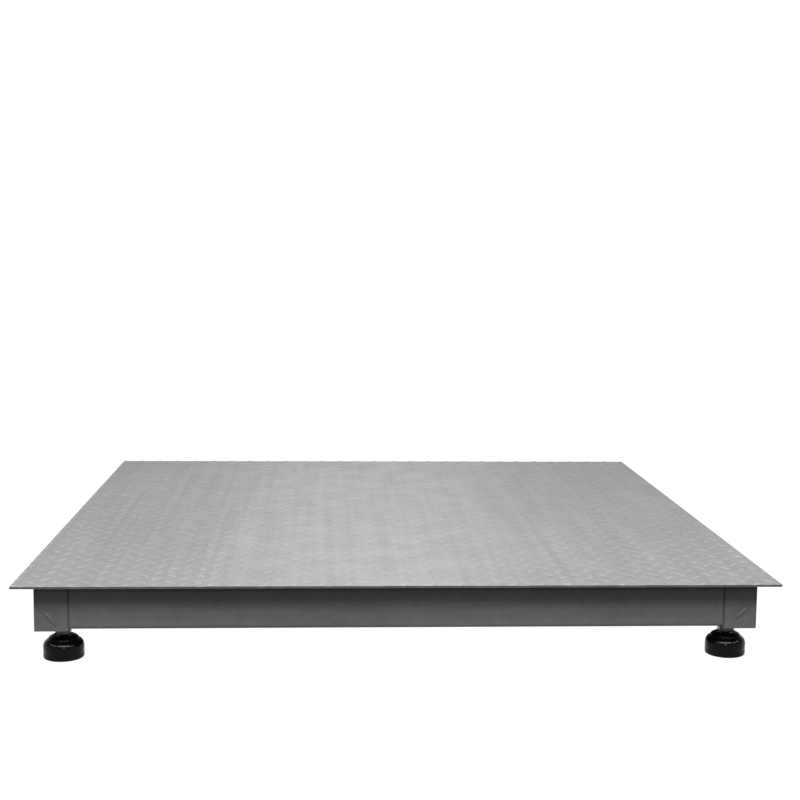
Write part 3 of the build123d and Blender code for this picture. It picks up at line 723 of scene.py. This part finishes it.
# ------------------------------------------------------------------ welds
BEAD_SIDES = 10
BEAD_RIPPLE = 3.0 * MM  # distance between a bead's scales
BEAD_SWELL = (0.10, 0.05)  # even and uneven part of the scales' height, as shares of the radius
BEAD_UNEVEN = 571  # waves of the uneven part, in radians a metre
SEAM_GAP = 0.2 * MM  # from a wall to its bead's centre line
# Half length and radius of each kind of stitch.
FRAME_STITCH = (20 * MM, 2.0 * MM)
RIB_STITCH = (18 * MM, 1.8 * MM)
PLATE_BEAD_RADIUS = 2.2 * MM
FRAME_STITCHES = 6  # on each side
FRAME_STITCH_MARGIN = 60 * MM
RIB_STITCHES = 5  # on each side of a rib
RIB_STITCH_PITCH = 220 * MM
BEAM_WALL = 5 * MM
PLATE_BEAD_MARGIN = 9 * MM


def add_bead(made, start, end, radius):
    """A weld bead along a straight run, with the scales of its passes and rounded ends."""
    run = end - start
    along = run.normalized()
    aside = along.cross(Vector((0, 0, 1)))
    if aside.length < 0.1:
        aside = along.cross(Vector((1, 0, 0)))
    aside.normalize()
    other = along.cross(aside)
    steps = max(6, int(run.length / (BEAD_RIPPLE / 3)))
    even, uneven = BEAD_SWELL
    rings = []
    for k in range(steps + 1):
        t = k * run.length / steps
        swell = 1.0 + even * math.sin(t / BEAD_RIPPLE * math.tau) + uneven * math.sin(t * BEAD_UNEVEN)
        near_end = min(t, run.length - t) / (2 * radius)
        swell *= math.sqrt(max(0.05, 1 - max(0.0, 1 - near_end) ** 2))
        ring = []
        for i in range(BEAD_SIDES):
            angle = i * math.tau / BEAD_SIDES
            point = (aside * math.cos(angle) + other * math.sin(angle)) * radius * swell
            ring.append(made.verts.new(start + along * t + point))
        rings.append(ring)
    for near, far in zip(rings, rings[1:]):
        close_ring(made, near, far)
    made.faces.new(list(reversed(rings[0])))
    made.faces.new(rings[-1])


def add_stitch(made, middle, along, half, radius):
    """A short bead either side of a point."""
    add_bead(made, middle - along * half, middle + along * half, radius)


def make_welds(materials):
    """Stitch welds that hold the deck, ribs, beams and end plates together, all out of sight from above."""
    made = bmesh.new()
    along_x, along_y = Vector((1, 0, 0)), Vector((0, 1, 0))
    for i in range(FRAME_STITCHES):
        across = (-1 + 2 * (i + 0.5) / FRAME_STITCHES) * (FRAME_FACE - FRAME_STITCH_MARGIN)
        for side in (-1, 1):
            edge = side * (FRAME_FACE + SEAM_GAP)
            add_stitch(made, Vector((edge, across, DECK_UNDERSIDE)), along_y, *FRAME_STITCH)
            add_stitch(made, Vector((across, edge, DECK_UNDERSIDE)), along_x, *FRAME_STITCH)
    for name in ("rib_left", "rib_centre", "rib_right"):
        low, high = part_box(name)
        for k in range(RIB_STITCHES):
            y = (k - (RIB_STITCHES - 1) / 2) * RIB_STITCH_PITCH
            for x in (low.x - SEAM_GAP, high.x + SEAM_GAP):
                add_stitch(made, Vector((x, y, DECK_UNDERSIDE)), along_y, *RIB_STITCH)
    for corner, (side, end) in CORNERS.items():
        low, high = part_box(f"end_plate_{corner}")
        inner = high.y if end < 0 else low.y
        wall = (low.x if side < 0 else high.x) - side * BEAM_WALL
        bottom = Vector((wall, inner, low.z + PLATE_BEAD_MARGIN))
        top = Vector((wall, inner, high.z - PLATE_BEAD_MARGIN))
        add_bead(made, bottom, top, PLATE_BEAD_RADIUS)
    return new_piece("stitch_welds", made, "platform", "frame_paint", materials)


# ------------------------------------------------------------------ potting
POTTING_FROM_END = 50 * MM  # from a load cell's free end to its gauge pockets
POTTING_STEPS = 40
# Radius and depth below the cell's face, in millimetres, from the rim's foot inwards.
POTTING_PROFILE = ((9.9, 5.0), (9.9, 2.6), (9.4, 2.2), (7.0, 2.6), (3.0, 2.9))


def make_potting(materials):
    """Sealing compound over the gauges in both pockets of each load cell."""
    made = bmesh.new()
    for corner, (_, end) in CORNERS.items():
        low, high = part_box(f"load_cell_{corner}")
        free_end = low.y if end < 0 else high.y
        middle = Vector(((low.x + high.x) / 2, free_end - end * POTTING_FROM_END, (low.z + high.z) / 2))
        half = (high.x - low.x) / 2
        for face in (-1, 1):
            rings = []
            for radius, depth in POTTING_PROFILE:
                place = middle + Vector((face * (half - depth * MM), 0, 0))
                ring = []
                for i in range(POTTING_STEPS):
                    angle = i * math.tau / POTTING_STEPS
                    out = Vector((0, math.cos(angle), math.sin(angle))) * radius * MM
                    ring.append(made.verts.new(place + out))
                rings.append(ring)
            for near, far in zip(rings, rings[1:]):
                close_ring(made, near, far)
            made.faces.new(rings[0])
            made.faces.new(rings[-1])
    return new_piece("gauge_potting", made, "platform", "gasket_rubber", materials)


# ------------------------------------------------------------------ finish
make_camera()
make_world()
make_stage()
for light_name, setting in LIGHTS.items():
    area_light(light_name, *setting)

MATERIALS = make_materials()
paint_nodes(MATERIALS)
make_tread(MATERIALS)
make_plate_lugs(MATERIALS)
for corner_name in CORNERS:
    make_foot(corner_name, MATERIALS)
make_welds(MATERIALS)
make_potting(MATERIALS)

bpy.context.scene.view_settings.view_transform = "Standard"
